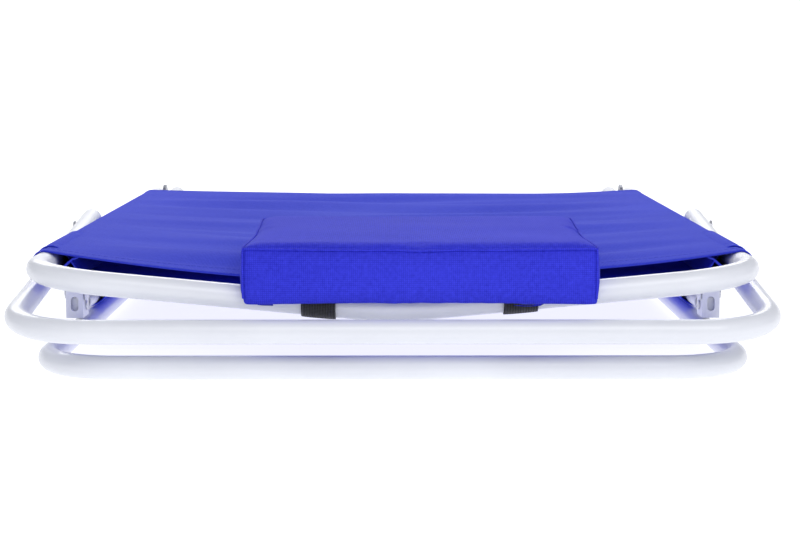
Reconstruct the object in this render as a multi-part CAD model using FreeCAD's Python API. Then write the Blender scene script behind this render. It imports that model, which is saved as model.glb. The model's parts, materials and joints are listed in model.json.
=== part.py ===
"""Three-section folding sun lounger, folded flat in a Z-shaped stack.

X runs across the lounger, Y along its depth and +Z is up. The head bar is at the -Y end.
Distances along the depth are first measured from the head bar's centreline, and every
shape is moved by -depth_centre when it is written. Lengths are millimetres.
"""
import math
import os

import FreeCAD
import Part

Vector = FreeCAD.Vector

# Tubes
tube_radius = 9.0
tube_wall = 1.2
corner_radius = 60.0
small_tube_radius = 8.0

# Across the lounger: distance of each tube's centreline from the middle
head_rail_x = 271.0
head_leg_x = 291.0
head_leg_bar_x = 282.5
seat_rail_x = 249.0
seat_leg_x = 231.0
foot_rail_x = 268.3
foot_leg_bar_x = 263.5

# Head section
head_corner_z = 77.5
head_bar_middle_z = 52.0
head_bar_middle_radius = 300.0
head_hinge = (715.0, 82.0)
head_rail_end = 735.0
head_sling_span = (77.0, 690.0)
under_band_span = (104.0, 218.0)

# Head leg
head_leg_pivot = (372.0, 79.8)
head_leg_bar = (-20.5, 39.4)
head_leg_tail = 42.0

# Seat section
seat_rail_front = (190.0, 51.0)
seat_rail_tail = 733.0
seat_sling_span = (256.0, 690.0)
seat_crossbar_y = 300.0
seat_leg_pivot_y = 640.0
seat_leg_length = 291.0
seat_leg_corner = 50.0

# Foot section
foot_hinge = (194.0, 40.5)
foot_rail_z = 30.0
foot_rail_start = 214.0
foot_bar_y = 880.0
foot_bar_drop = 16.0
foot_sling_span = (256.0, 815.0)

# Foot leg
foot_leg_pivot = (504.0, 9.0)
foot_leg_bar_y = 3.5

# Fittings
pin_radius = 3.0
hinge_pin_radius = 4.0
screw_radius = 2.0
running_clearance = 0.05
fabric_gap = 0.3
fabric_thickness = 1.5
bracket_width = 14.4
tab_thickness = 1.6

# Pillow
pillow_middle_x = 19.0
pillow_width = 260.0
strap_spacing = 148.0
strap_width = 25.0

# Middle of the whole object along the depth, used as the origin
depth_centre = 429.75


def head_rail_z(y):
    slope = (head_hinge[1] - head_corner_z) / head_hinge[0]
    return head_corner_z + slope * y


def seat_rail_z(y):
    run = head_hinge[0] - seat_rail_front[0]
    slope = (head_hinge[1] - seat_rail_front[1]) / run
    return head_hinge[1] - slope * (head_hinge[0] - y)


def head_bar_z(x):
    slope = (head_corner_z - head_bar_middle_z) / head_rail_x
    return head_bar_middle_z + slope * abs(x) + 0.6


def bent_wire(points, radii):
    """Polyline through points, with an arc of the given radius at each inner corner."""
    corners = [Vector(*point) for point in points]
    edges = []
    start = corners[0]
    for index, radius in enumerate(radii, start=1):
        corner = corners[index]
        back = (corners[index - 1] - corner).normalize()
        ahead = (corners[index + 1] - corner).normalize()
        half_angle = back.getAngle(ahead) / 2
        reach = radius / math.tan(half_angle)
        first = corner + back * reach
        last = corner + ahead * reach
        inward = (back + ahead).normalize()
        middle = corner + inward * (radius / math.sin(half_angle) - radius)
        edges.append(Part.makeLine(start, first))
        edges.append(Part.Arc(first, middle, last).toShape())
        start = last
    edges.append(Part.makeLine(start, corners[-1]))
    return Part.Wire(edges)


def swept(wire, radius):
    start = wire.Edges[0].valueAt(wire.Edges[0].FirstParameter)
    direction = wire.Edges[0].tangentAt(wire.Edges[0].FirstParameter)
    circle = Part.Wire([Part.makeCircle(radius, start, direction)])
    return wire.makePipeShell([circle], True, True)


def tube(points, radii, radius=tube_radius):
    wire = bent_wire(points, radii)
    return swept(wire, radius).cut(swept(wire, radius - tube_wall))


def rod_x(x_from, x_to, y, z, radius):
    return Part.makeCylinder(radius, x_to - x_from, Vector(x_from, y, z), Vector(1, 0, 0))


def mirrored(shape):
    return shape.mirror(Vector(0, 0, 0), Vector(1, 0, 0))


def pair(shape):
    return Part.makeCompound([shape, mirrored(shape)])


def rivet(x_from, x_to, y, z, radius, head_radius, head_thickness):
    """Rivet along X whose heads sit outside x_from and x_to."""
    shaft = rod_x(x_from - 0.2, x_to + 0.2, y, z, radius)
    inner_head = rod_x(x_from - head_thickness, x_from, y, z, head_radius)
    outer_head = rod_x(x_to, x_to + head_thickness, y, z, head_radius)
    outer_face = x_to + head_thickness
    inner_face = x_from - head_thickness
    outer_rim = [edge for edge in outer_head.Edges if abs(edge.BoundBox.XMin - outer_face) < 1e-6]
    inner_rim = [edge for edge in inner_head.Edges if abs(edge.BoundBox.XMax - inner_face) < 1e-6]
    outer_head = outer_head.makeFillet(head_thickness * 0.7, outer_rim)
    inner_head = inner_head.makeFillet(head_thickness * 0.7, inner_rim)
    return shaft.fuse([inner_head, outer_head]).removeSplitter()


def bored(shape, pins):
    """Drill each side along X with a running hole for every (y, z, radius)."""
    for y, z, radius in pins:
        shape = shape.cut(rod_x(-330, 330, y, z, radius + running_clearance))
    return shape


def end_cap(end, along, radius=tube_radius):
    """Plug whose rounded flange covers a tube's open end."""
    face = Vector(*end)
    plug = Part.makeCylinder(radius - tube_wall - running_clearance, 13, face - along * 12, along)
    flange = Part.makeCylinder(radius, 4.5, face + along * 0.05, along)
    rim_centre = face + along * 4.55
    rim = [edge for edge in flange.Edges if (edge.CenterOfMass - rim_centre).Length < 1e-3]
    flange = flange.makeFillet(3.4, rim)
    return plug.fuse(flange).removeSplitter()


def round_end(pivot, along, radius):
    """Plug with a ball end centred on its pivot, so that it turns within the tube's own thickness."""
    plug_radius = radius - tube_wall - running_clearance
    ball_radius = radius - 0.1
    shoulder = -0.9
    rim = math.sqrt(ball_radius ** 2 - shoulder ** 2)
    middle = ball_radius * math.sqrt(0.5)
    corners = [
        Vector(0, 0, ball_radius), Vector(0, 0, -26), Vector(plug_radius, 0, -26),
        Vector(plug_radius, 0, shoulder), Vector(rim, 0, shoulder),
    ]
    edges = [Part.makeLine(a, b) for a, b in zip(corners, corners[1:])]
    edges.append(Part.Arc(corners[-1], Vector(middle, 0, middle), corners[0]).toShape())
    shape = Part.Face(Part.Wire(edges)).revolve(Vector(0, 0, 0), Vector(0, 0, 1), 360)
    shape.Placement = FreeCAD.Placement(Vector(*pivot), FreeCAD.Rotation(Vector(0, 0, 1), along))
    return shape


def head_frame():
    points = [
        (-head_rail_x, head_rail_end, head_rail_z(head_rail_end)),
        (-head_rail_x, 0, head_corner_z),
        (0, 0, head_bar_middle_z),
        (head_rail_x, 0, head_corner_z),
        (head_rail_x, head_rail_end, head_rail_z(head_rail_end)),
    ]
    shape = tube(points, [corner_radius, head_bar_middle_radius, corner_radius])
    return bored(shape, [(*head_hinge, hinge_pin_radius), (*head_leg_pivot, pin_radius)])


def u_frame(far, bar, corner=corner_radius, radius=tube_radius):
    """U of tube whose arms end at the points far and -far, and whose corners are bar and -bar."""
    points = [(-far[0], *far[1:]), (-bar[0], *bar[1:]), bar, far]
    return tube(points, [corner, corner], radius)


def unit(from_point, to_point):
    run = to_point[0] - from_point[0]
    rise = to_point[1] - from_point[1]
    length = math.hypot(run, rise)
    return run / length, rise / length


def beyond(point, direction, distance):
    return point[0] + direction[0] * distance, point[1] + direction[1] * distance


def arm(bar, pivot, reach):
    """Direction of a leg's arm, and the point a reach beyond its pivot."""
    along = (Vector(*pivot) - Vector(*bar)).normalize()
    return along, Vector(*pivot) + along * reach


def head_leg_arm():
    bar = (head_leg_bar_x, *head_leg_bar)
    pivot = (head_leg_x, *head_leg_pivot)
    return arm(bar, pivot, head_leg_tail)


def head_leg():
    tail = head_leg_arm()[1]
    shape = u_frame(tuple(tail), (head_leg_bar_x, *head_leg_bar))
    return bored(shape, [(*head_leg_pivot, pin_radius)])


def head_leg_caps():
    along, tail = head_leg_arm()
    return pair(end_cap(tail, along))


def seat_direction():
    return unit(seat_rail_front, head_hinge)


def seat_rails():
    front = (seat_rail_x, seat_rail_front[0], seat_rail_z(seat_rail_front[0]))
    tail = (seat_rail_x, seat_rail_tail, seat_rail_z(seat_rail_tail))
    shape = tube([front, tail], [])
    tab_z = seat_rail_z(foot_hinge[0] + 4)
    pins = [
        (*head_hinge, hinge_pin_radius),
        (seat_leg_pivot_y, seat_rail_z(seat_leg_pivot_y), pin_radius),
        (foot_hinge[0] + 4, tab_z, pin_radius),
        (seat_crossbar_y, seat_rail_z(seat_crossbar_y), screw_radius),
    ]
    return pair(bored(shape, pins))


def seat_caps():
    tail = (seat_rail_tail, seat_rail_z(seat_rail_tail))
    front = (seat_rail_front[0], seat_rail_z(seat_rail_front[0]))
    plug_radius = tube_radius - tube_wall - running_clearance
    along = Vector(0, *seat_direction())
    far_cap = end_cap((seat_rail_x, *tail), along)
    face = Vector(seat_rail_x, front[0], front[1])
    plug = Part.makeCylinder(plug_radius, 4, face, along)
    disc = Part.makeCylinder(tube_radius, 1.5, face - along * 1.55, along)
    near_cap = plug.fuse(disc)
    bridge = Part.makeCylinder(plug_radius, 1, face - along * 0.5, along)
    near_cap = near_cap.fuse(bridge).removeSplitter()
    return Part.makeCompound([far_cap, mirrored(far_cap), near_cap, mirrored(near_cap)])


def seat_crossbar():
    z = seat_rail_z(seat_crossbar_y)
    reach = seat_rail_x - tube_radius - 0.3
    outer = rod_x(-reach, reach, seat_crossbar_y, z, small_tube_radius)
    inner = rod_x(-reach + 3, reach - 3, seat_crossbar_y, z, small_tube_radius - tube_wall)
    return bored(outer.cut(inner), [(seat_crossbar_y, z, screw_radius)])


def crossbar_screws():
    z = seat_rail_z(seat_crossbar_y)
    outer = seat_rail_x + tube_radius
    shaft = rod_x(seat_rail_x - tube_radius - 12, outer + 1, seat_crossbar_y, z, screw_radius)
    head = rod_x(outer + 0.1, outer + 1.8, seat_crossbar_y, z, 4.5)
    return pair(shaft.fuse(head).removeSplitter())


def seat_leg_pivot():
    return seat_leg_pivot_y, seat_rail_z(seat_leg_pivot_y)


def seat_leg():
    direction = seat_direction()
    pivot = seat_leg_pivot()
    bar = beyond(pivot, direction, -seat_leg_length)
    end = beyond(pivot, direction, -1)
    shape = u_frame((seat_leg_x, *end), (seat_leg_x, *bar), seat_leg_corner, small_tube_radius)
    return bored(shape, [(*pivot, pin_radius + 2)])


def seat_leg_ends():
    pivot = (seat_leg_x, *seat_leg_pivot())
    end = round_end(pivot, Vector(0, *seat_direction()), small_tube_radius)
    return pair(bored(end, [(*seat_leg_pivot(), pin_radius)]))


def foot_frame():
    middle = (0, foot_bar_y, foot_rail_z - foot_bar_drop)
    points = [
        (-foot_rail_x, foot_rail_start, foot_rail_z),
        (-foot_rail_x, foot_bar_y, foot_rail_z),
        middle,
        (foot_rail_x, foot_bar_y, foot_rail_z),
        (foot_rail_x, foot_rail_start, foot_rail_z),
    ]
    shape = tube(points, [corner_radius, head_bar_middle_radius, corner_radius])
    tongue_corner = Vector(foot_rail_x - 5.2, foot_rail_start - 24, foot_rail_z - 6)
    tongue = Part.makeBox(10.4, 30, 12, tongue_corner)
    shape = shape.fuse([tongue, mirrored(tongue)]).removeSplitter()
    pins = [(foot_rail_start - 12, foot_rail_z, pin_radius), (foot_leg_pivot[0], foot_rail_z, pin_radius)]
    return bored(shape, pins)


def hinge_brackets():
    """Front-facing channels that carry the foot rails on the seat's hinge tabs."""
    width = bracket_width
    sheet = 1.6
    depth = 26.0
    low, high = 19.5, 46.0
    left = foot_rail_x - width / 2
    front = foot_hinge[0] - 8
    outside = Part.makeBox(width, depth, high - low, Vector(left, front, low))
    inside = Part.makeBox(width - 2 * sheet, depth, high - low, Vector(left + sheet, front + sheet, low))
    shape = outside.cut(inside)
    slot_low, slot_high, slot_radius = 28.4, 34.4, 3.1
    for z in (slot_low, slot_high):
        drill = Part.makeCylinder(slot_radius, 4, Vector(foot_rail_x, front - 1, z), Vector(0, 1, 0))
        shape = shape.cut(drill)
    gap_corner = Vector(foot_rail_x - slot_radius, front - 1, slot_low)
    gap = Part.makeBox(2 * slot_radius, 4, slot_high - slot_low, gap_corner)
    shape = shape.cut(gap)
    pins = [(*foot_hinge, pin_radius), (foot_rail_start - 12, foot_rail_z, pin_radius)]
    return pair(bored(shape, pins))


def bracket_rivets():
    outer = foot_rail_x + bracket_width / 2
    inner = foot_rail_x - bracket_width / 2
    return pair(rivet(inner - 0.1, outer + 0.1, foot_rail_start - 12, foot_rail_z, pin_radius, 5.5, 1.3))


def hinge_tabs():
    """Plates on the outside of the seat rails that reach down to the foot hinge."""
    inner = seat_rail_x + tube_radius + 0.4
    y, z = foot_hinge
    top_y = y + 4
    top_z = seat_rail_z(top_y)
    lower = rod_x(inner, inner + tab_thickness, y, z, 7)
    upper = rod_x(inner, inner + tab_thickness, top_y, top_z, 7)
    web = Part.makeBox(tab_thickness, 12, top_z - z, Vector(inner, y - 3, z))
    shape = lower.fuse([upper, web]).removeSplitter()
    return pair(bored(shape, [(y, z, pin_radius), (top_y, top_z, pin_radius)]))


def tab_rivets():
    y = foot_hinge[0] + 4
    z = seat_rail_z(y)
    outer = seat_rail_x + tube_radius + 0.4 + tab_thickness
    inner = seat_rail_x - tube_radius
    return pair(rivet(inner - 0.1, outer + 0.1, y, z, pin_radius, 5.0, 0.8))


def foot_hinge_pins():
    inner = seat_rail_x + tube_radius + 0.4
    outer = foot_rail_x + bracket_width / 2
    shaft = rod_x(inner, outer + 0.3, *foot_hinge, pin_radius)
    head = rod_x(outer + 0.2, outer + 1.6, *foot_hinge, 5.5)
    return pair(shaft.fuse(head).removeSplitter())


def head_hinge_pins():
    inner = seat_rail_x - tube_radius
    outer = head_rail_x + tube_radius
    return pair(rivet(inner - 0.1, outer + 0.1, *head_hinge, hinge_pin_radius, 7, 1.6))


def ratchet_discs():
    """Toothed discs between the seat rail and the head rail."""
    teeth = 24
    points = []
    for index in range(teeth):
        angle = 2 * math.pi * index / teeth
        for share, radius in ((0.0, 12.6), (0.35, 14.0), (0.65, 14.0)):
            turn = angle + share * 2 * math.pi / teeth
            y = head_hinge[0] + radius * math.cos(turn)
            z = head_hinge[1] + radius * math.sin(turn)
            points.append(Vector(seat_rail_x + tube_radius + 0.5, y, z))
    points.append(points[0])
    disc = Part.Face(Part.makePolygon(points)).extrude(Vector(3, 0, 0))
    return pair(bored(disc, [(*head_hinge, hinge_pin_radius)]))


def head_leg_rivets():
    inner = head_rail_x - tube_radius
    outer = head_leg_x + tube_radius
    return pair(rivet(inner - 0.1, outer + 0.4, *head_leg_pivot, pin_radius, 6, 1.3))


def head_leg_spacers():
    inner = head_rail_x + tube_radius + 0.3
    washer = rod_x(inner, inner + 1.4, *head_leg_pivot, 7.5)
    return pair(bored(washer, [(*head_leg_pivot, pin_radius)]))


def seat_leg_rivets():
    y = seat_leg_pivot_y
    inner = seat_leg_x - small_tube_radius
    outer = seat_rail_x + tube_radius
    return pair(rivet(inner - 0.1, outer + 0.1, y, seat_rail_z(y), pin_radius, 6, 1.3))


def foot_leg_arm(reach):
    bar = (foot_leg_bar_x, foot_leg_bar_y, foot_leg_pivot[1])
    pivot = (foot_rail_x, *foot_leg_pivot)
    return arm(bar, pivot, reach)


def foot_leg():
    y, z = foot_leg_pivot
    end = foot_leg_arm(-1)[1]
    shape = u_frame(tuple(end), (foot_leg_bar_x, foot_leg_bar_y, z))
    return bored(shape, [(y, z, pin_radius + 2)])


def foot_leg_ends():
    along, pivot = foot_leg_arm(0)
    return pair(bored(round_end(pivot, along, tube_radius), [(*foot_leg_pivot, pin_radius)]))


def foot_leg_brackets():
    """Plates on both sides of each foot rail, which hold the foot leg's pivots."""
    y, z = foot_leg_pivot
    plates = []
    for inner in (foot_rail_x - tube_radius - 1.8, foot_rail_x + tube_radius + 0.3):
        lower = rod_x(inner, inner + 1.5, y, z, 7.4)
        upper = rod_x(inner, inner + 1.5, y, foot_rail_z, 7.4)
        web = Part.makeBox(1.5, 14.8, foot_rail_z - z, Vector(inner, y - 7.4, z))
        plate = lower.fuse([upper, web]).removeSplitter()
        plate = bored(plate, [(y, z, pin_radius), (y, foot_rail_z, pin_radius)])
        plates += [plate, mirrored(plate)]
    return Part.makeCompound(plates)


def foot_leg_rivets(z):
    inner = foot_rail_x - tube_radius - 1.8
    outer = foot_rail_x + tube_radius + 1.8
    return pair(rivet(inner - 0.1, outer + 0.1, foot_leg_pivot[0], z, pin_radius, 5.5, 1.2))


def sheet(span, rail_z, half_width, base, sag_near, sag_far):
    """Thin closed sheet between two rails, sagging in the middle."""
    sections = []
    for y, sag in ((span[0], sag_near), (span[1], sag_far)):
        low = rail_z(y) + base
        top_arc = Part.Arc(
            Vector(-half_width, y, low + fabric_thickness),
            Vector(0, y, low + fabric_thickness - sag),
            Vector(half_width, y, low + fabric_thickness)).toShape()
        low_arc = Part.Arc(
            Vector(-half_width, y, low),
            Vector(0, y, low - sag),
            Vector(half_width, y, low)).toShape()
        left = Part.makeLine(low_arc.Vertexes[0].Point, top_arc.Vertexes[0].Point)
        right = Part.makeLine(top_arc.Vertexes[1].Point, low_arc.Vertexes[1].Point)
        sections.append(Part.Wire([left, top_arc, right, low_arc]))
    return Part.makeLoft(sections, True, True)


def head_sling():
    return sheet(head_sling_span, head_rail_z, head_rail_x, tube_radius + fabric_gap, 17, 4)


def under_band():
    """Second layer of cloth below the front of the head sling, hung under the rails."""
    below_rail = -tube_radius - fabric_gap - fabric_thickness
    return sheet(under_band_span, head_rail_z, head_rail_x, below_rail, 11, 10)


def seat_sling():
    below_rail = -tube_radius - fabric_gap - fabric_thickness
    return sheet(seat_sling_span, seat_rail_z, seat_rail_x, below_rail, 5, 5)


def foot_sling():
    return sheet(foot_sling_span, lambda y: foot_rail_z, foot_rail_x, tube_radius + fabric_gap, 8, 8)


def pillow_block(inset):
    profile = [
        (-20 + inset, 60 + inset),
        (-13 - inset, 60 + inset),
        (-13 - inset, 77.5 + inset),
        (186 - inset, 81 + inset),
        (186 - inset, 105 - inset),
        (-20 + inset, 99.5 - inset),
    ]
    left = pillow_middle_x - pillow_width / 2 + inset
    points = [Vector(left, y, z) for y, z in profile]
    points.append(points[0])
    return Part.Face(Part.makePolygon(points)).extrude(Vector(pillow_width - 2 * inset, 0, 0))


def pillow_cover():
    return pillow_block(0).cut(pillow_block(1.0))


def pillow_core():
    return pillow_block(1.3)


def pillow_straps():
    straps = []
    slope = (head_corner_z - head_bar_middle_z) / head_rail_x
    for x in (pillow_middle_x - strap_spacing / 2, pillow_middle_x + strap_spacing / 2):
        along = Vector(1, 0, slope if x > 0 else -slope).normalize()
        start = Vector(x, 0, head_bar_z(x) - 0.6) - along * strap_width / 2
        outer = Part.makeCylinder(tube_radius + 2.2, strap_width, start, along)
        inner = Part.makeCylinder(tube_radius + 0.5, strap_width, start, along)
        straps.append(outer.cut(inner))
    return Part.makeCompound(straps)


def head_rail_caps():
    end = (head_rail_end, head_rail_z(head_rail_end))
    along = Vector(0, *unit((0, head_corner_z), head_hinge))
    return pair(end_cap((head_rail_x, *end), along))


def write(name, shape):
    shape = shape.copy()
    shape.translate(Vector(0, -depth_centre, 0))
    shape.exportStep("parts/" + name + ".step")
    box = shape.BoundBox
    print(f"{name:24s} solids {len(shape.Solids):2d} valid {shape.isValid()} "
          f"volume {shape.Volume / 1000:8.1f} cm3 x {box.XMin:7.1f} {box.XMax:7.1f} "
          f"y {box.YMin:7.1f} {box.YMax:7.1f} z {box.ZMin:6.1f} {box.ZMax:6.1f}")


def main():
    os.makedirs("parts", exist_ok=True)
    write("head_frame", head_frame())
    write("head_rail_caps", head_rail_caps())
    write("head_sling", head_sling())
    write("head_under_band", under_band())
    write("pillow_cover", pillow_cover())
    write("pillow_core", pillow_core())
    write("pillow_straps", pillow_straps())
    write("head_leg_frame", head_leg())
    write("head_leg_caps", head_leg_caps())
    write("head_leg_rivets", head_leg_rivets())
    write("head_leg_spacers", head_leg_spacers())
    write("ratchet_discs", ratchet_discs())
    write("head_hinge_pins", head_hinge_pins())
    write("seat_rails", seat_rails())
    write("seat_rail_caps", seat_caps())
    write("seat_crossbar", seat_crossbar())
    write("seat_crossbar_screws", crossbar_screws())
    write("seat_sling", seat_sling())
    write("hinge_tabs", hinge_tabs())
    write("hinge_tab_rivets", tab_rivets())
    write("foot_hinge_pins", foot_hinge_pins())
    write("seat_leg_frame", seat_leg())
    write("seat_leg_ends", seat_leg_ends())
    write("seat_leg_rivets", seat_leg_rivets())
    write("foot_frame", foot_frame())
    write("foot_sling", foot_sling())
    write("foot_hinge_brackets", hinge_brackets())
    write("foot_bracket_rivets", bracket_rivets())
    write("foot_leg_brackets", foot_leg_brackets())
    write("foot_leg_bracket_rivets", foot_leg_rivets(foot_rail_z))
    write("foot_leg_frame", foot_leg())
    write("foot_leg_ends", foot_leg_ends())
    write("foot_leg_pivots", foot_leg_rivets(foot_leg_pivot[1]))


main()
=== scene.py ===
import json
import math

import bmesh
import bpy
from mathutils import Euler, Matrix, Vector, kdtree, noise
from mathutils.bvhtree import BVHTree


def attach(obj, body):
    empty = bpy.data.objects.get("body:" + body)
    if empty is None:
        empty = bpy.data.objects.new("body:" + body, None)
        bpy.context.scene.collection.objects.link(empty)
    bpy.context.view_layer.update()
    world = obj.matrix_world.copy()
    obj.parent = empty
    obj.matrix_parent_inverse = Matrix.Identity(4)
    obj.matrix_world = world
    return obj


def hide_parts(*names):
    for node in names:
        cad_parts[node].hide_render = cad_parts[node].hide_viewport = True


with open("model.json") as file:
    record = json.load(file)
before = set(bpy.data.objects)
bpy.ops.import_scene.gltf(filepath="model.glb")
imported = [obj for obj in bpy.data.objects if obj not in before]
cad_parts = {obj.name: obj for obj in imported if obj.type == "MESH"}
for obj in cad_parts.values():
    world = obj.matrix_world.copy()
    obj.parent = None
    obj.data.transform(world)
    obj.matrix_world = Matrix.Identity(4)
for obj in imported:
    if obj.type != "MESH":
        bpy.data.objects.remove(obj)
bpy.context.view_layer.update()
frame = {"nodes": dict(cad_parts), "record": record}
print("frame loaded:", len(frame["nodes"]), "nodes")

# Tube sizes that the cloth pieces have to meet, in metres.
# Depths run from the head bar's centreline, which lies at headBarY.
tubes = dict(
    radius=0.009,
    headBarY=-0.42975,
    headRailX=0.271, headCornerZ=0.0775, headHingeDepth=0.715, headHingeZ=0.082,
    headBarMiddleZ=0.0533,
    seatRailX=0.249, seatFrontDepth=0.190, seatFrontZ=0.051,
    footRailX=0.2683, footRailZ=0.030,
)


def headRailZ(depth):
    rise = tubes["headHingeZ"] - tubes["headCornerZ"]
    return tubes["headCornerZ"] + rise * depth / tubes["headHingeDepth"]


def seatRailZ(depth):
    run = tubes["headHingeDepth"] - tubes["seatFrontDepth"]
    rise = tubes["headHingeZ"] - tubes["seatFrontZ"]
    return tubes["seatFrontZ"] + rise * (depth - tubes["seatFrontDepth"]) / run


def footRailZ(depth):
    return tubes["footRailZ"]


def headBarZ(x):
    slope = (tubes["headCornerZ"] - tubes["headBarMiddleZ"]) / tubes["headRailX"]
    return tubes["headBarMiddleZ"] + slope * abs(x)


def linear(hexColour):
    parts = [int(hexColour[i:i + 2], 16) / 255 for i in (0, 2, 4)]
    done = [p / 12.92 if p <= 0.04045 else ((p + 0.055) / 1.055) ** 2.4 for p in parts]
    return (*done, 1.0)


def addNode(tree, kind, settings=None, links=None):
    node = tree.nodes.new(kind)
    for key, value in (settings or {}).items():
        if key in node.inputs.keys():
            node.inputs[key].default_value = value
        elif isinstance(key, int):
            node.inputs[key].default_value = value
        else:
            setattr(node, key, value)
    for key, source in (links or {}).items():
        tree.links.new(source, node.inputs[key])
    return node


def newMaterial(name):
    material = bpy.data.materials.new(name)
    material.use_nodes = True
    tree = material.node_tree
    tree.nodes.clear()
    surface = addNode(tree, "ShaderNodeBsdfPrincipled")
    output = addNode(tree, "ShaderNodeOutputMaterial")
    tree.links.new(surface.outputs["BSDF"], output.inputs["Surface"])
    return material, tree, surface


def colourRamp(tree, fac, stops):
    ramp = addNode(tree, "ShaderNodeValToRGB", links={"Fac": fac})
    elements = ramp.color_ramp.elements
    while len(elements) < len(stops):
        elements.new(0.5)
    for element, (place, colour) in zip(elements, stops):
        element.position = place
        element.color = linear(colour)
    return ramp


def meshObject(name, points, faces, material, smooth=True):
    mesh = bpy.data.meshes.new(name)
    mesh.from_pydata([tuple(p) for p in points], [], faces)
    mesh.validate()
    mesh.update()
    thing = bpy.data.objects.new(name, mesh)
    bpy.context.scene.collection.objects.link(thing)
    mesh.materials.append(material)
    for polygon in mesh.polygons:
        polygon.use_smooth = smooth
    return thing


def applyModifiers(thing):
    graph = bpy.context.evaluated_depsgraph_get()
    made = bpy.data.meshes.new_from_object(thing.evaluated_get(graph))
    thing.modifiers.clear()
    thing.data = made


def powderCoat(name, colour, roughness):
    # Polyester powder coat on steel: soft gloss with a faint orange-peel ripple
    material, tree, surface = newMaterial(name)
    place = addNode(tree, "ShaderNodeTexCoord")
    peel = addNode(tree, "ShaderNodeTexNoise", {"Scale": 420.0, "Detail": 2.0, "Roughness": 0.45},
                   {"Vector": place.outputs["Object"]})
    cloud = addNode(tree, "ShaderNodeTexNoise", {"Scale": 9.0, "Detail": 5.0, "Roughness": 0.6},
                    {"Vector": place.outputs["Object"]})
    shade = colourRamp(tree, cloud.outputs["Fac"], [(0.35, colour[1]), (0.65, colour[0])])
    tree.links.new(shade.outputs["Color"], surface.inputs["Base Color"])
    spread = {"From Min": 0.3, "From Max": 0.7, "To Min": roughness - 0.05, "To Max": roughness + 0.07}
    gloss = addNode(tree, "ShaderNodeMapRange", spread, {"Value": cloud.outputs["Fac"]})
    tree.links.new(gloss.outputs["Result"], surface.inputs["Roughness"])
    bump = addNode(tree, "ShaderNodeBump", {"Strength": 0.09, "Distance": 0.0006},
                   {"Height": peel.outputs["Fac"]})
    tree.links.new(bump.outputs["Normal"], surface.inputs["Normal"])
    surface.inputs["IOR"].default_value = 1.5
    surface.inputs["Coat Weight"].default_value = 0.25
    surface.inputs["Coat Roughness"].default_value = 0.18
    return material


def wovenPolyester(name, thread, dark, light, bumpDepth, fuzz, slubShare=0.45):
    # Plain-weave polyester: crossing threads whose gaps are darkened in the colour as painted shade, slow
    # tone changes of the yarn and dye, and a soft sheen at glancing angles
    material, tree, surface = newMaterial(name)
    uv = addNode(tree, "ShaderNodeUVMap", {"uv_map": "cloth"})
    place = addNode(tree, "ShaderNodeTexCoord")
    split = addNode(tree, "ShaderNodeSeparateXYZ", links={"Vector": uv.outputs["UV"]})
    waves = []
    for axis in ("X", "Y"):
        turns = addNode(tree, "ShaderNodeMath", {"operation": "MULTIPLY", 1: math.pi / thread},
                        {0: split.outputs[axis]})
        wave = addNode(tree, "ShaderNodeMath", {"operation": "SINE"}, {0: turns.outputs[0]})
        waves.append(wave.outputs[0])
    crossing = addNode(tree, "ShaderNodeMath", {"operation": "MULTIPLY"}, {0: waves[0], 1: waves[1]})
    height = addNode(tree, "ShaderNodeMath", {"operation": "ABSOLUTE"}, {0: crossing.outputs[0]})
    slub = addNode(tree, "ShaderNodeTexNoise", {"Scale": 330.0, "Detail": 4.0, "Roughness": 0.7},
                   {"Vector": place.outputs["Object"]})
    tone = addNode(tree, "ShaderNodeTexNoise", {"Scale": 7.0, "Detail": 4.0, "Roughness": 0.55},
                   {"Vector": place.outputs["Object"]})
    mixed = addNode(tree, "ShaderNodeMath", {"operation": "MULTIPLY_ADD", 1: 1 - slubShare},
                    {0: height.outputs[0]})
    slubPart = addNode(tree, "ShaderNodeMath", {"operation": "MULTIPLY", 1: slubShare},
                       {0: slub.outputs["Fac"]})
    tree.links.new(slubPart.outputs[0], mixed.inputs[2])
    # the thread height goes into the colour: gaps between threads come out darker, which is painted shade;
    # the slub and slow tone noise are the yarn's own variation
    toneAndPaintedGapShade = addNode(tree, "ShaderNodeMath", {"operation": "MULTIPLY_ADD", 1: 0.35},
                       {0: tone.outputs["Fac"], 2: mixed.outputs[0]})
    shade = colourRamp(tree, toneAndPaintedGapShade.outputs[0], [(0.30, dark), (0.95, light)])
    tree.links.new(shade.outputs["Color"], surface.inputs["Base Color"])
    bump = addNode(tree, "ShaderNodeBump", {"Strength": 0.5, "Distance": bumpDepth},
                   {"Height": mixed.outputs[0]})
    tree.links.new(bump.outputs["Normal"], surface.inputs["Normal"])
    surface.inputs["Roughness"].default_value = 0.78
    surface.inputs["Specular IOR Level"].default_value = 0.1
    surface.inputs["Sheen Weight"].default_value = fuzz
    surface.inputs["Sheen Roughness"].default_value = 0.45
    surface.inputs["Sheen Tint"].default_value = linear("8FA0FF")
    return material


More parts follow.
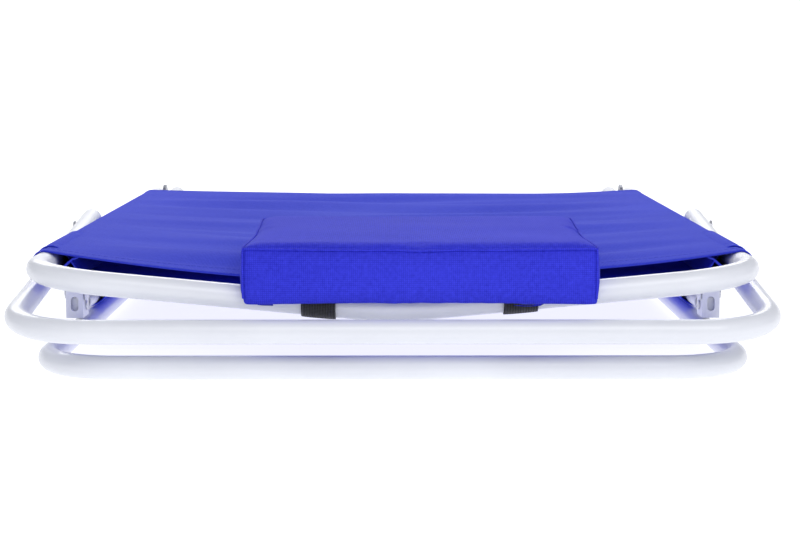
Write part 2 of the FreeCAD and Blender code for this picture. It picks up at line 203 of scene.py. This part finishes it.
def elasticWebbing(name, ribSpacing=0.0019, pickSpacing=0.0011):
    # Woven elastic: dull black rubber-cored band with fine ribs along its length; the rib grooves are
    # darkened in the colour as painted shade
    material, tree, surface = newMaterial(name)
    uv = addNode(tree, "ShaderNodeUVMap", {"uv_map": "cloth"})
    split = addNode(tree, "ShaderNodeSeparateXYZ", links={"Vector": uv.outputs["UV"]})
    turns = addNode(tree, "ShaderNodeMath", {"operation": "MULTIPLY", 1: 2 * math.pi / ribSpacing},
                    {0: split.outputs["X"]})
    rib = addNode(tree, "ShaderNodeMath", {"operation": "SINE"}, {0: turns.outputs[0]})
    cross = addNode(tree, "ShaderNodeMath", {"operation": "MULTIPLY", 1: 2 * math.pi / pickSpacing},
                    {0: split.outputs["Y"]})
    pick = addNode(tree, "ShaderNodeMath", {"operation": "SINE"}, {0: cross.outputs[0]})
    both = addNode(tree, "ShaderNodeMath", {"operation": "MULTIPLY_ADD", 1: 0.35},
                   {0: pick.outputs[0], 2: rib.outputs[0]})
    # darker rib grooves and lighter rib crests in this colour are painted shade
    shade = colourRamp(tree, both.outputs[0], [(0.0, "131318"), (1.0, "2C2C34")])
    tree.links.new(shade.outputs["Color"], surface.inputs["Base Color"])
    bump = addNode(tree, "ShaderNodeBump", {"Strength": 0.6, "Distance": 0.0004},
                   {"Height": both.outputs[0]})
    tree.links.new(bump.outputs["Normal"], surface.inputs["Normal"])
    surface.inputs["Roughness"].default_value = 0.85
    surface.inputs["Sheen Weight"].default_value = 0.3
    return material


def mouldedPlastic(name, colour):
    # Injection-moulded polypropylene: even colour with a fine satin skin
    material, tree, surface = newMaterial(name)
    place = addNode(tree, "ShaderNodeTexCoord")
    grain = addNode(tree, "ShaderNodeTexNoise", {"Scale": 900.0, "Detail": 2.0},
                    {"Vector": place.outputs["Object"]})
    shade = colourRamp(tree, grain.outputs["Fac"], [(0.3, colour[1]), (0.7, colour[0])])
    tree.links.new(shade.outputs["Color"], surface.inputs["Base Color"])
    bump = addNode(tree, "ShaderNodeBump", {"Strength": 0.12, "Distance": 0.0003},
                   {"Height": grain.outputs["Fac"]})
    tree.links.new(bump.outputs["Normal"], surface.inputs["Normal"])
    surface.inputs["Roughness"].default_value = 0.42
    surface.inputs["IOR"].default_value = 1.49
    return material


def zincPlate(name, bright, dull, roughness):
    # Zinc-plated steel: bright silver with cloudy passivation and fine turning marks
    material, tree, surface = newMaterial(name)
    place = addNode(tree, "ShaderNodeTexCoord")
    cloud = addNode(tree, "ShaderNodeTexNoise", {"Scale": 260.0, "Detail": 4.0, "Roughness": 0.6},
                    {"Vector": place.outputs["Object"]})
    marks = addNode(tree, "ShaderNodeTexNoise", {"Scale": 1500.0, "Detail": 2.0},
                    {"Vector": place.outputs["Object"]})
    shade = colourRamp(tree, cloud.outputs["Fac"], [(0.35, dull), (0.65, bright)])
    tree.links.new(shade.outputs["Color"], surface.inputs["Base Color"])
    gloss = addNode(tree, "ShaderNodeMapRange", {"To Min": roughness - 0.08, "To Max": roughness + 0.1},
                    {"Value": cloud.outputs["Fac"]})
    tree.links.new(gloss.outputs["Result"], surface.inputs["Roughness"])
    bump = addNode(tree, "ShaderNodeBump", {"Strength": 0.1, "Distance": 0.0002},
                   {"Height": marks.outputs["Fac"]})
    tree.links.new(bump.outputs["Normal"], surface.inputs["Normal"])
    surface.inputs["Metallic"].default_value = 1.0
    return material


finishes = dict(
    white_frame=powderCoat("powderCoatedSteelWhite", ("ECEEF3", "E5E7ED"), 0.34),
    white_plastic=mouldedPlastic("mouldedPolypropyleneWhite", ("EFF0F4", "E6E8ED")),
    zinc_rivet=zincPlate("zincPlatedRivet", "D9DADF", "A9ABB2", 0.3),
    zinc_disc=zincPlate("stampedZincDisc", "B9BBC2", "8C8E96", 0.42),
    blue_sling=wovenPolyester("wovenPolyesterSling", 0.0011, "2C36BE", "4250E0", 0.0004, 0.10),
    blue_cushion=wovenPolyester("wovenPolyesterCover", 0.0015, "2226B0", "3E43E4", 0.0007, 0.10, 0.7),
    black_elastic=elasticWebbing("wovenElasticBlack"),
)
threadBlue = wovenPolyester("sewingThreadBlue", 0.0006, "2A34B4", "434FD4", 0.0002, 0.3)

for nodeName, part in frame["nodes"].items():
    slotName = next(s["material_slot"] for s in frame["record"]["subparts"] if s["node"] == nodeName)
    if slotName in finishes:
        for index in range(len(part.material_slots)):
            part.material_slots[index].material = finishes[slotName]
print("hard parts finished")


def stitchTree():
    tree = bpy.data.node_groups.new("stitchRow", "GeometryNodeTree")
    tree.interface.new_socket("Path", in_out="INPUT", socket_type="NodeSocketGeometry")
    for label, value in (("Spacing", 0.0042), ("Stitch Length", 0.0029), ("Thread Radius", 0.00042)):
        socket = tree.interface.new_socket(label, in_out="INPUT", socket_type="NodeSocketFloat")
        socket.default_value = value
    tree.interface.new_socket("Thread", in_out="INPUT", socket_type="NodeSocketMaterial")
    tree.interface.new_socket("Stitches", in_out="OUTPUT", socket_type="NodeSocketGeometry")
    given = addNode(tree, "NodeGroupInput")
    curve = addNode(tree, "GeometryNodeMeshToCurve", links={"Mesh": given.outputs["Path"]})
    points = addNode(tree, "GeometryNodeResampleCurve", {"mode": "LENGTH"},
                     {"Curve": curve.outputs[0], "Length": given.outputs["Spacing"]})
    stitch = addNode(tree, "GeometryNodeMeshCylinder", {"Vertices": 6, "Side Segments": 1},
                     {"Radius": given.outputs["Thread Radius"], "Depth": given.outputs["Stitch Length"]})
    tangent = addNode(tree, "GeometryNodeInputTangent")
    turn = addNode(tree, "FunctionNodeAlignRotationToVector", {"axis": "Z"},
                   {"Vector": tangent.outputs["Tangent"]})
    placed = addNode(tree, "GeometryNodeInstanceOnPoints",
                     links={"Points": points.outputs[0], "Instance": stitch.outputs["Mesh"],
                            "Rotation": turn.outputs["Rotation"]})
    real = addNode(tree, "GeometryNodeRealizeInstances", links={"Geometry": placed.outputs[0]})
    painted = addNode(tree, "GeometryNodeSetMaterial",
                      links={"Geometry": real.outputs[0], "Material": given.outputs["Thread"]})
    addNode(tree, "NodeGroupOutput", links={"Stitches": painted.outputs[0]})
    return tree


stitches = stitchTree()


def sewRows(name, rows, sizes):
    # rows are lists of points; each becomes one run of stitches
    points, edges = [], []
    for row in rows:
        first = len(points)
        points += [tuple(p) for p in row]
        edges += [(first + i, first + i + 1) for i in range(len(row) - 1)]
    mesh = bpy.data.meshes.new(name)
    mesh.from_pydata(points, edges, [])
    thing = bpy.data.objects.new(name, mesh)
    bpy.context.scene.collection.objects.link(thing)
    sewing = thing.modifiers.new("stitches", "NODES")
    sewing.node_group = stitches
    for item in stitches.interface.items_tree:
        if item.in_out == "INPUT" and item.name in sizes:
            sewing[item.identifier] = sizes[item.name]
        if item.in_out == "INPUT" and item.name == "Thread":
            sewing[item.identifier] = threadBlue
    applyModifiers(thing)
    for polygon in thing.data.polygons:
        polygon.use_smooth = True
    return thing


clothMaking = dict(
    gap=0.0003, hemRise=0.0005, hemRamp=0.0015, stitchInset=0.004, stitchLift=0.0004,
    sleeveStitch=0.005, rowEnd=0.004, backLift=0.0018,
)


def slingWave(piece, x, depth):
    # Slow cross bands with a little wander, fading out at the rails
    share = min(1.0, abs(x) / piece["railX"])
    fade = (1 - share ** 3) * (1 - 0.35 * share)
    wander = noise.noise(Vector((x * 2.2, depth * 3.0, piece["seed"])))
    band = math.sin(2 * math.pi * depth / piece["bandLength"] + 2.4 * wander + 1.2 * x)
    fine = noise.noise(Vector((x * 4.0, depth * 30.0, piece["seed"] + 7)))
    behind = (depth - piece["span"][0]) / 0.07
    droop = piece.get("droop", 0.0) * max(0.0, 1 - behind) ** 2 * (1 - share ** 2)
    return fade * (piece["bandHeight"] * band + piece["creaseHeight"] * fine) - droop


def slingSag(piece, x, depth):
    near, far = piece["span"]
    along = (depth - near) / (far - near)
    sag = piece["sagNear"] + (piece["sagFar"] - piece["sagNear"]) * along ** 0.7
    share = min(1.0, abs(x) / piece["railX"])
    return sag * (1 - share ** 2.0)


def wrapRadius(piece):
    return tubes["radius"] + piece["thickness"] * 0.5 + clothMaking["gap"] + piece.get("over", 0.0)


def slingPoint(piece, x, depth):
    # Middle surface of the cloth between the rails
    side = piece["side"]
    wrap = wrapRadius(piece)
    level = piece["railZ"](depth) + side * wrap
    return level - slingSag(piece, x, depth) + slingWave(piece, x, depth)


def slingRow(piece, depth):
    # One line of cloth across: sewn edge, round the outside of the rail, across, and the same again
    side = piece["side"]
    wrap = wrapRadius(piece)
    railX, railZ = piece["railX"], piece["railZ"](depth)
    half = []
    seamX = railX - piece["sleeve"]
    seamZ = slingPoint(piece, seamX, depth) - side * piece["thickness"] * 1.25
    lastAngle = math.radians(-118)
    wrapStart = (railX + wrap * math.cos(lastAngle), railZ + side * wrap * math.sin(lastAngle))
    half.append((seamX, seamZ))
    for i in range(1, 5):
        share = i / 5
        ease = share * share * (3 - 2 * share)
        half.append((seamX + (wrapStart[0] - seamX) * share, seamZ + (wrapStart[1] - seamZ) * ease))
    for i in range(19):
        angle = lastAngle + (math.radians(90) - lastAngle) * i / 18
        half.append((railX + wrap * math.cos(angle), railZ + side * wrap * math.sin(angle)))
    steps = piece["acrossSteps"]
    right = list(half)
    for i in range(1, steps):
        x = railX * (1 - 2 * i / steps)
        right.append((x, slingPoint(piece, x, depth)))
    left = [(-x, z) for x, z in reversed(half)]
    return right + left


def buildSling(name, piece):
    near, far = piece["span"]
    depths = []
    steps = piece["alongSteps"]
    for i in range(steps + 1):
        depths.append(near + (far - near) * i / steps)
    points, uvs = [], []
    for depth in depths:
        row = slingRow(piece, depth)
        run = 0.0
        for i, (x, z) in enumerate(row):
            if i:
                run += math.hypot(x - row[i - 1][0], z - row[i - 1][1])
            # a turned hem is one cloth thicker along both open edges
            edge = min(depth - near, far - depth)
            hem = 0.0
            if edge < piece["hem"]:
                outer = min(1.0, edge / clothMaking["hemRamp"])
                inner = min(1.0, (piece["hem"] - edge) / clothMaking["hemRamp"])
                hem = clothMaking["hemRise"] * outer * inner
            points.append((x, tubes["headBarY"] + depth, z + hem * piece["side"]))
            uvs.append((run, depth))
    count = len(slingRow(piece, near))
    faces = []
    for j in range(steps):
        for i in range(count - 1):
            a = j * count + i
            faces.append((a, a + count, a + count + 1, a + 1))
    if piece["side"] < 0:
        faces = [tuple(reversed(f)) for f in faces]
    sling = meshObject(name, points, faces, finishes["blue_sling"])
    layer = sling.data.uv_layers.new(name="cloth")
    for loop in sling.data.loops:
        layer.data[loop.index].uv = uvs[loop.vertex_index]
    bm = bmesh.new()
    bm.from_mesh(sling.data)
    bmesh.ops.recalc_face_normals(bm, faces=bm.faces)
    bm.to_mesh(sling.data)
    bm.free()
    body = sling.modifiers.new("thickness", "SOLIDIFY")
    body.thickness = piece["thickness"]
    body.offset = 0.0
    applyModifiers(sling)
    for polygon in sling.data.polygons:
        polygon.use_smooth = True
    return sling


def slingStitches(name, piece):
    near, far = piece["span"]
    side = piece["side"]
    lift = side * (piece["thickness"] * 0.5 + clothMaking["stitchLift"])
    rows = []
    fromEdge = piece["hem"] - clothMaking["stitchInset"]
    for depth in (near + fromEdge, far - fromEdge):
        row = []
        for i in range(121):
            x = piece["railX"] * (1 - 2 * i / 120)
            row.append((x, tubes["headBarY"] + depth, slingPoint(piece, x, depth) + lift))
        rows.append(row)
    for sign in (-1, 1):
        # the sleeve's seam shows only from the back of the cloth
        x = sign * (piece["railX"] - piece["sleeve"] + clothMaking["sleeveStitch"])
        row = []
        first, length = near + clothMaking["rowEnd"], far - near - 2 * clothMaking["rowEnd"]
        for i in range(141):
            depth = first + length * i / 140
            z = slingPoint(piece, x, depth) - side * clothMaking["backLift"]
            row.append((x, tubes["headBarY"] + depth, z))
        rows.append(row)
    sizes = {"Spacing": 0.0046, "Stitch Length": 0.0034, "Thread Radius": 0.00028}
    return sewRows(name, rows, sizes)


headSlingPiece = dict(
    railX=tubes["headRailX"], railZ=headRailZ, side=1, thickness=0.0009, span=(0.077, 0.688),
    sleeve=0.026, hem=0.018, sagNear=0.0165, sagFar=0.0040, seed=3.1,
    bandLength=0.104, bandHeight=0.0029, creaseHeight=0.0046, droop=0.0035, acrossSteps=150, alongSteps=190,
)
underBandPiece = dict(
    railX=tubes["headRailX"], railZ=headRailZ, side=-1, thickness=0.0009, span=(0.104, 0.218), over=0.0014,
    sleeve=0.026, hem=0.018, sagNear=0.011, sagFar=0.010, seed=4.4,
    bandLength=0.118, bandHeight=0.0008, creaseHeight=0.0012, acrossSteps=120, alongSteps=40,
)
seatSlingPiece = dict(
    railX=tubes["seatRailX"], railZ=seatRailZ, side=-1, thickness=0.0009, span=(0.252, 0.692),
    sleeve=0.026, hem=0.018, sagNear=0.004, sagFar=0.004, seed=5.7,
    bandLength=0.125, bandHeight=0.0006, creaseHeight=0.0008, acrossSteps=120, alongSteps=140,
)
footSlingPiece = dict(
    railX=tubes["footRailX"], railZ=footRailZ, side=1, thickness=0.0009, span=(0.256, 0.806),
    sleeve=0.026, hem=0.018, sagNear=0.0075, sagFar=0.0085, seed=8.3,
    bandLength=0.121, bandHeight=0.0007, creaseHeight=0.0010, acrossSteps=130, alongSteps=160,
)

for label, piece, body, node, rails, flat in (
    ("headSling", headSlingPiece, "head", "head_sling", "head_frame", (0.675, 0.611)),
    ("headUnderBand", underBandPiece, "head", "head_under_band", "head_frame", (0.675, 0.114)),
    ("seatSling", seatSlingPiece, "seat", "seat_sling", "seat_rails", (0.630, 0.440)),
    ("footSling", footSlingPiece, "foot", "foot_sling", "foot_frame", (0.668, 0.550)),
):
    cloth = buildSling(label, piece)
    sewing = slingStitches(label + "Stitches", piece)
    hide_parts(node)
    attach(cloth, body)
    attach(sewing, body)
print("slings made")


cushion = dict(
    middleX=0.0195, width=0.262, front=-0.0205, back=0.186,
    frontLow=0.0570, frontTop=0.1020, backLow=0.0700, backTop=0.1060,
    shrink=0.0008, voxel=0.0045, pressure=1.0, cap=0.0022,  # cap: furthest the filling may push the cover
    barGap=0.0010, slingGap=0.0018, slingReach=0.006,
    strapOffset=0.074, strapReach=0.015, strapGap=0.0018,  # room for the two straps round the bar
    underBar=0.004, restLength=0.06,  # foam more than underBar below the bar moves sideways, not up
    crease=0.0011, slack=0.0005, sideSlack=0.0004, flatEdge=0.03,
    valleyWidth=0.008, valleyDepth=0.0011, seamRadius=0.0009, seamLift=0.0002, seamStep=0.006,
)


def cushionPoint(u, v, w, inset=0.0):
    # u across, v front to back and w bottom to top, each from 0 to 1
    width = cushion["width"] - 2 * inset
    x = cushion["middleX"] + (u - 0.5) * width
    depth = cushion["front"] + inset + (cushion["back"] - cushion["front"] - 2 * inset) * v
    low = cushion["frontLow"] + (cushion["backLow"] - cushion["frontLow"]) * v + inset
    top = cushion["frontTop"] + (cushion["backTop"] - cushion["frontTop"]) * v - inset
    return Vector((x, tubes["headBarY"] + depth, low + (top - low) * w))


def clearOfFrame(point):
    # The foam gives way where it sits on the bowed bar and on the sling
    x, y, z = point
    depth = y - tubes["headBarY"]
    barZ = headBarZ(x)
    reach = tubes["radius"] + cushion["barGap"]
    fromMiddle = abs(x - cushion["middleX"])
    if abs(fromMiddle - cushion["strapOffset"]) < cushion["strapReach"]:
        reach += cushion["strapGap"]
    overBar = barZ + math.sqrt(max(0.0, reach ** 2 - depth ** 2))
    across = math.hypot(depth, z - barZ)
    if 1e-6 < across < reach:
        if z > barZ - cushion["underBar"]:
            z = overBar
        else:
            depth = math.copysign(math.sqrt(max(0.0, reach ** 2 - (z - barZ) ** 2)), depth)
    elif abs(depth) < reach and z < barZ:
        z = overBar
    if 0.0 < depth < cushion["restLength"] and z < barZ + tubes["radius"]:
        z = max(z, barZ + tubes["radius"] * (1 - depth / cushion["restLength"]))
    slingFront = headSlingPiece["span"][0]
    if depth > slingFront - cushion["slingReach"]:
        z = max(z, slingPoint(headSlingPiece, x, max(depth, slingFront)) + cushion["slingGap"])
    return Vector((x, tubes["headBarY"] + depth, z))


def buildCushion():
    bm = bmesh.new()
    bmesh.ops.create_cube(bm, size=1.0)
    bmesh.ops.subdivide_edges(bm, edges=bm.edges, cuts=23, use_grid_fill=True)
    for vert in bm.verts:
        u, v, w = (c + 0.5 for c in vert.co)
        vert.co = cushionPoint(u, v, w, cushion["shrink"])
    bmesh.ops.recalc_face_normals(bm, faces=bm.faces)
    mesh = bpy.data.meshes.new("cushion")
    bm.to_mesh(mesh)
    bm.free()
    thing = bpy.data.objects.new("cushion", mesh)
    bpy.context.scene.collection.objects.link(thing)
    bpy.context.view_layer.objects.active = thing
    remesh = thing.modifiers.new("even", "REMESH")
    remesh.mode = "VOXEL"
    remesh.voxel_size = cushion["voxel"]
    applyModifiers(thing)
    start = [v.co.copy() for v in thing.data.vertices]
    cloth = thing.modifiers.new("Cloth", "CLOTH")
    cloth.settings.quality = 6
    cloth.settings.mass = 0.25
    cloth.settings.tension_stiffness = 20
    cloth.settings.compression_stiffness = 20
    cloth.settings.shear_stiffness = 8
    cloth.settings.bending_stiffness = 1.2
    cloth.settings.use_pressure = True
    cloth.settings.uniform_pressure_force = cushion["pressure"]
    cloth.settings.effector_weights.gravity = 0.0
    cloth.point_cache.frame_start = 1
    cloth.point_cache.frame_end = 20
    for step in range(1, 21):
        bpy.context.scene.frame_set(step)
    applyModifiers(thing)
    bpy.context.scene.frame_set(1)
    for vert, before in zip(thing.data.vertices, start):
        move = vert.co - before
        if move.length > cushion["cap"]:
            vert.co = before + move.normalized() * cushion["cap"]
    return thing


def boxPaths():
    # The sewn edges that show: round the top panel and down the four corners
    corners = [(0, 0), (1, 0), (1, 1), (0, 1)]
    paths = []
    for (u0, v0), (u1, v1) in zip(corners, corners[1:] + corners[:1]):
        paths.append([cushionPoint(u0, v0, 1), cushionPoint(u1, v1, 1)])
    for u, v in corners:
        paths.append([cushionPoint(u, v, 0.12), cushionPoint(u, v, 1)])
    return paths


def pointTree(lines):
    places = [place for line in lines for place in line]
    tree = kdtree.KDTree(len(places))
    for index, place in enumerate(places):
        tree.insert(place, index)
    tree.balance()
    return tree


def dense(path):
    # Close points along a straight edge, for measuring how far away the edge is
    steps = 90
    return [path[0].lerp(path[1], i / steps) for i in range(steps + 1)]


seamPaths = boxPaths()
boxTree = pointTree([dense(path) for path in seamPaths])
pillow = buildCushion()


def shapeCushion(thing):
    # Adds slack creases on the panels and lets the foam give way to the frame
    middle = cushionPoint(0.5, 0.5, 0.5)
    for vert in thing.data.vertices:
        point = vert.co.copy()
        edge = boxTree.find(point)[2]
        crease = noise.noise(Vector((point.x * 9 + point.y * 6, point.y * 16 - point.x * 5, 2.0)))
        slack = noise.noise(Vector((point.x * 28, point.y * 22, point.z * 30)))
        away = (point - middle).normalized()
        lift = min(1.0, edge / cushion["flatEdge"])
        up = 1.0 if point.z > middle.z else 0.0
        point.z += up * lift * (cushion["crease"] * crease + cushion["slack"] * slack)
        point.y += (1 - up) * cushion["sideSlack"] * slack * away.y
        vert.co = clearOfFrame(point)
    thing.data.update()


shapeCushion(pillow)
finer = pillow.modifiers.new("finer", "SUBSURF")
finer.levels = 1
finer.render_levels = 1
applyModifiers(pillow)
for vert in pillow.data.vertices:
    vert.co = clearOfFrame(vert.co)


def seamLine(path, tree, lift):
    # Follows the cushion's real surface along one edge of the plain box
    made = []
    steps = max(8, int((path[1] - path[0]).length / cushion["seamStep"]))
    for i in range(steps + 1):
        point = path[0].lerp(path[1], i / steps)
        place, normal, _, _ = tree.find_nearest(point)
        made.append(place + normal * lift)
    return made


graph = bpy.context.evaluated_depsgraph_get()
surfaceTree = BVHTree.FromObject(pillow, graph)
seams = [seamLine(path, surfaceTree, cushion["seamLift"]) for path in seamPaths]


def sinkSeams(thing):
    # The sewn edge sits in a shallow valley
    tree = pointTree(seams)
    for vert in thing.data.vertices:
        nearest = tree.find(vert.co)[2]
        if nearest < cushion["valleyWidth"]:
            depthShare = 1 - nearest / cushion["valleyWidth"]
            vert.co -= vert.normal * cushion["valleyDepth"] * depthShare * depthShare


sinkSeams(pillow)


def boxUv(thing):
    # Cloth coordinates in metres, by the panel each face belongs to
    layer = thing.data.uv_layers.new(name="cloth")
    for polygon in thing.data.polygons:
        flat = [abs(c) for c in polygon.normal]
        drop = flat.index(max(flat))
        axes = [i for i in range(3) if i != drop]
        for index in polygon.loop_indices:
            co = thing.data.vertices[thing.data.loops[index].vertex_index].co
            layer.data[index].uv = (co[axes[0]], co[axes[1]])


def tubeAlong(name, lines, radius, material):
    curve = bpy.data.curves.new(name, "CURVE")
    curve.dimensions = "3D"
    curve.bevel_depth = radius
    curve.bevel_resolution = 2
    for line in lines:
        spline = curve.splines.new("POLY")
        spline.points.add(len(line) - 1)
        for place, point in zip(line, spline.points):
            point.co = (*place, 1.0)
    holder = bpy.data.objects.new(name + "Path", curve)
    bpy.context.scene.collection.objects.link(holder)
    graph = bpy.context.evaluated_depsgraph_get()
    mesh = bpy.data.meshes.new_from_object(holder.evaluated_get(graph))
    bpy.data.objects.remove(holder)
    mesh.materials.clear()
    mesh.materials.append(material)
    thing = bpy.data.objects.new(name, mesh)
    bpy.context.scene.collection.objects.link(thing)
    for polygon in mesh.polygons:
        polygon.use_smooth = True
    return thing


pillow.data.materials.clear()
pillow.data.materials.append(finishes["blue_cushion"])
for polygon in pillow.data.polygons:
    polygon.use_smooth = True
boxUv(pillow)
seamRidge = tubeAlong("cushionSeams", seams, cushion["seamRadius"], finishes["blue_cushion"])
boxUv(seamRidge)
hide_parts("pillow_cover", "pillow_core")
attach(pillow, "head")
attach(seamRidge, "head")
print("cushion made")


straps = dict(spacing=0.148, width=0.025, radius=0.0103, thickness=0.0013, edgeDrop=0.0003)


def buildStraps():
    points, faces, uvs = [], [], []
    around, across = 64, 10
    for sign in (-1, 1):
        x0 = cushion["middleX"] + sign * straps["spacing"] / 2
        first = len(points)
        for j in range(across + 1):
            x = x0 + (j / across - 0.5) * straps["width"]
            edge = abs(j / across - 0.5) * 2
            for i in range(around):
                angle = 2 * math.pi * i / around
                bulge = straps["radius"] - straps["edgeDrop"] * edge ** 4
                y = tubes["headBarY"] + bulge * math.cos(angle)
                z = headBarZ(x) + bulge * math.sin(angle)
                points.append((x, y, z))
                uvs.append((x - x0, angle * straps["radius"]))
        for j in range(across):
            for i in range(around):
                a = first + j * around + i
                b = first + j * around + (i + 1) % around
                faces.append((a, b, b + around, a + around))
    thing = meshObject("cushionStraps", points, faces, finishes["black_elastic"])
    layer = thing.data.uv_layers.new(name="cloth")
    for loop in thing.data.loops:
        layer.data[loop.index].uv = uvs[loop.vertex_index]
    bm = bmesh.new()
    bm.from_mesh(thing.data)
    bmesh.ops.recalc_face_normals(bm, faces=bm.faces)
    bm.to_mesh(thing.data)
    bm.free()
    wall = thing.modifiers.new("thickness", "SOLIDIFY")
    wall.thickness = straps["thickness"]
    wall.offset = 1.0
    applyModifiers(thing)
    for polygon in thing.data.polygons:
        polygon.use_smooth = True
    return thing


strapPair = buildStraps()
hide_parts("pillow_straps")
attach(strapPair, "head")
print("straps made")


studio = dict(
    floorSize=60.0, floorTone="9A9CA2", cloudTone="A0A2A8", floorGlow=0.87,
    wallDistance=25.0, wallHeight=4.0,
    world="F4F6FF", worldStrength=0.48, keyPower=28.0, fillPower=24.0,
    cameraDepth=-1.262, cameraX=0.0, cameraZ=0.2309, lens=78.0, pitch=6.69, yaw=0.233,
)


def glowingWhite(name, tone, glow):
    # Opal acrylic lit from behind, so that nothing darkens under the frame
    material, tree, surface = newMaterial(name)
    place = addNode(tree, "ShaderNodeTexCoord")
    cloud = addNode(tree, "ShaderNodeTexNoise", {"Scale": 1.5, "Detail": 3.0},
                    {"Vector": place.outputs["Object"]})
    shade = colourRamp(tree, cloud.outputs["Fac"], [(0.3, tone), (0.7, studio["cloudTone"])])
    tree.links.new(shade.outputs["Color"], surface.inputs["Base Color"])
    surface.inputs["Roughness"].default_value = 0.9
    surface.inputs["Specular IOR Level"].default_value = 0.1
    surface.inputs["Emission Color"].default_value = linear("FFFFFF")
    surface.inputs["Emission Strength"].default_value = glow
    return material


def buildFloor():
    half = studio["floorSize"] / 2
    level = -0.0003
    corners = [(-half, -half, level), (half, -half, level), (half, half, level), (-half, half, level)]
    table = glowingWhite("opalLightTable", studio["floorTone"], studio["floorGlow"])
    meshObject("studioFloor", corners, [(0, 1, 2, 3)], table, smooth=False)


def buildWall():
    far, top, half = studio["wallDistance"], studio["wallHeight"], studio["floorSize"] / 2
    corners = [(-half, far, -0.5), (half, far, -0.5), (half, far, top), (-half, far, top)]
    paper = glowingWhite("opalBackWall", studio["floorTone"], 1.0)
    meshObject("studioWall", corners, [(0, 1, 2, 3)], paper, smooth=False)


def softLight(name, place, aim, size, power):
    data = bpy.data.lights.new(name, "AREA")
    data.shape = "RECTANGLE"
    data.size, data.size_y = size
    data.energy = power
    light = bpy.data.objects.new(name, data)
    light.location = place
    light.rotation_euler = (Vector(aim) - Vector(place)).to_track_quat("-Z", "Y").to_euler()
    bpy.context.scene.collection.objects.link(light)


def buildStudio():
    world = bpy.data.worlds.new("softWhiteRoom")
    bpy.context.scene.world = world
    world.use_nodes = True
    background = world.node_tree.nodes["Background"]
    background.inputs["Color"].default_value = linear(studio["world"])
    background.inputs["Strength"].default_value = studio["worldStrength"]
    softLight("backSoftbox", (-0.25, 1.75, 1.25), (0, 0, 0.05), (2.6, 0.8), studio["keyPower"])
    softLight("frontFill", (0.6, -2.1, 1.7), (0, -0.3, 0.05), (2.2, 1.2), studio["fillPower"])
    bpy.context.scene.view_settings.view_transform = "Standard"


def buildCamera():
    data = bpy.data.cameras.new("catalogueCamera")
    data.lens = studio["lens"]
    data.sensor_width = 36.0
    camera = bpy.data.objects.new("catalogueCamera", data)
    camera.location = (studio["cameraX"], tubes["headBarY"] + studio["cameraDepth"], studio["cameraZ"])
    camera.rotation_euler = Euler((math.radians(90 - studio["pitch"]), 0, math.radians(-studio["yaw"])))
    bpy.context.scene.collection.objects.link(camera)
    bpy.context.scene.camera = camera


buildFloor()
buildWall()
buildStudio()
buildCamera()
print("studio made")
